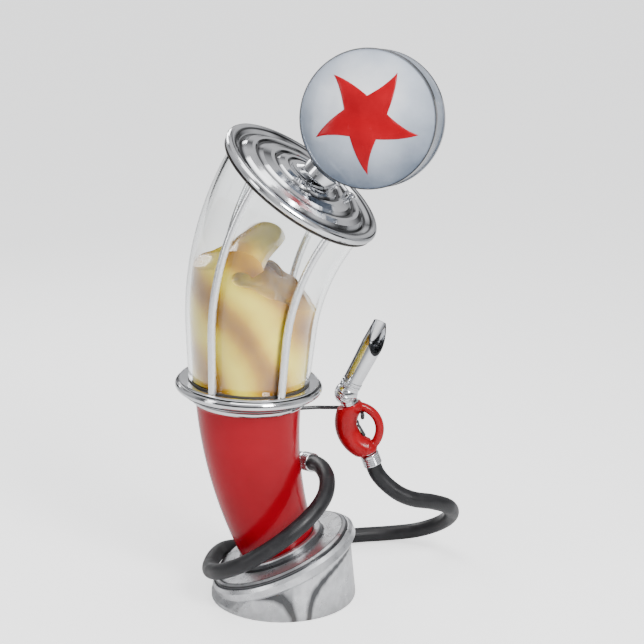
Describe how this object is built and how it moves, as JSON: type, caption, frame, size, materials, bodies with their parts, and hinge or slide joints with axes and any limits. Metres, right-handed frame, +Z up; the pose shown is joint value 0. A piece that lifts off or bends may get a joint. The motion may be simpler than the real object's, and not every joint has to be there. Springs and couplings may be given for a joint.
{
  "type": "visible gas pump",
  "caption": "Bent visible petrol pump with a curved red column, flared glass of amber fuel, chrome lid, round star globe, hand lever, hose and trigger nozzle.",
  "frame": {"origin": "centre of the underside of the foot, on the floor", "axes": "+Z up, -Y is the front that the globe's face looks to, +X is the side that the lid and globe lean to and the nozzle hangs on"},
  "size_m": [0.9007, 0.7003, 1.7312],
  "materials": {
    "chrome": "polished chrome plate",
    "casting": "silver painted casting",
    "red_enamel": "glossy red enamel",
    "red_grip": "glossy red moulded cover",
    "star_red": "red fired enamel",
    "clear_glass": "clear glass",
    "fuel": "clear amber liquid",
    "milk_glass": "opal white glass",
    "bulb_glass": "frosted lamp glass",
    "porcelain": "glazed porcelain",
    "rod_steel": "satin silver rod",
    "bright_steel": "bright zinc steel",
    "dark_iron": "black painted iron",
    "pipe_steel": "galvanised pipe",
    "brass": "cast brass",
    "wood": "varnished beech",
    "gasket": "cork rubber",
    "hose_rubber": "satin black rubber"
  },
  "bodies": {
    "stand": {"base_casting": "casting", "column_shell": "red_enamel", "service_cover": "red_enamel", "cover_screws": "bright_steel", "pump_casing": "dark_iron", "pump_cover_plate": "dark_iron", "pump_cover_bolts": "bright_steel", "shaft_gland": "brass", "suction_pipe": "pipe_steel", "delivery_pipe": "pipe_steel", "drain_pipe_upper": "brass", "drain_valve_body": "brass", "drain_pipe_lower": "brass", "hose_outlet": "chrome", "hose_ferrule": "chrome", "lower_collar": "chrome", "lower_gasket": "gasket", "glass_cylinder": "clear_glass", "fuel": "fuel", "upper_gasket": "gasket", "tie_rod_1": "rod_steel", "tie_rod_2": "rod_steel", "tie_rod_3": "rod_steel", "tie_rod_4": "rod_steel", "rod_sockets": "chrome", "lid": "chrome", "lid_plug": "pipe_steel", "vent_tube": "chrome", "vent_hinge": "bright_steel", "globe_holder": "chrome", "globe_screws": "bright_steel", "globe_band": "milk_glass", "lens_front": "milk_glass", "lens_back": "milk_glass", "lens_ring_front": "chrome", "lens_ring_back": "chrome", "star_front": "star_red", "star_back": "star_red", "lamp_socket": "porcelain", "lamp_bulb": "bulb_glass", "nozzle_grip": "red_grip", "nozzle_valve_body": "chrome", "nozzle_spout": "chrome", "trigger_pin": "bright_steel", "hose_swivel": "chrome", "hook_plate": "dark_iron", "nozzle_hook": "dark_iron", "hook_screws": "bright_steel", "hose": "hose_rubber"},
    "lever": {"pump_shaft": "bright_steel", "pump_wing": "brass", "pump_lever": "dark_iron", "lever_grip": "wood", "lever_nut": "bright_steel"},
    "drain_valve": {"drain_valve_plug": "bright_steel", "drain_handle": "bright_steel"},
    "vent_flap": {"vent_flap": "chrome"},
    "trigger": {"nozzle_trigger": "dark_iron"},
    "stem": {"nozzle_stem": "brass"}
  },
  "joints": [
    {"name": "pump_lever_swing", "type": "hinge", "parent": "stand", "child": "lever", "pos_m": [-0.06122, 0, 0.30569], "axis": [0, 1, 0], "range_deg": [-32, 32]},
    {"name": "drain_valve_turn", "type": "hinge", "parent": "stand", "child": "drain_valve", "pos_m": [-0.03933, 0.06837, 0.55602], "axis": [0, 1, 0], "range_deg": [0, 90]},
    {"name": "vent_flap_lift", "type": "hinge", "parent": "stand", "child": "vent_flap", "pos_m": [0.1971, 0.03675, 1.28624], "axis": [-0.0996, -0.9848, -0.1422], "range_deg": [0, 70], "stiffness_Nm_per_rad": 0.01, "springref_deg": -17.19},
    {"name": "trigger_squeeze", "type": "hinge", "parent": "stand", "child": "trigger", "pos_m": [0.23263, 0.11, 0.52793], "axis": [0, 1, 0], "range_deg": [0, 10], "stiffness_Nm_per_rad": 2, "springref_deg": -11.46},
    {"name": "stem_travel", "type": "slide", "parent": "stand", "child": "stem", "axis": [-0.9397, 0, -0.342], "range_m": [0, 0.0062]}
  ],
  "couplings": [
    {"joint": "stem_travel", "follows": "trigger_squeeze", "m_per_rad": 0.032}
  ]
}
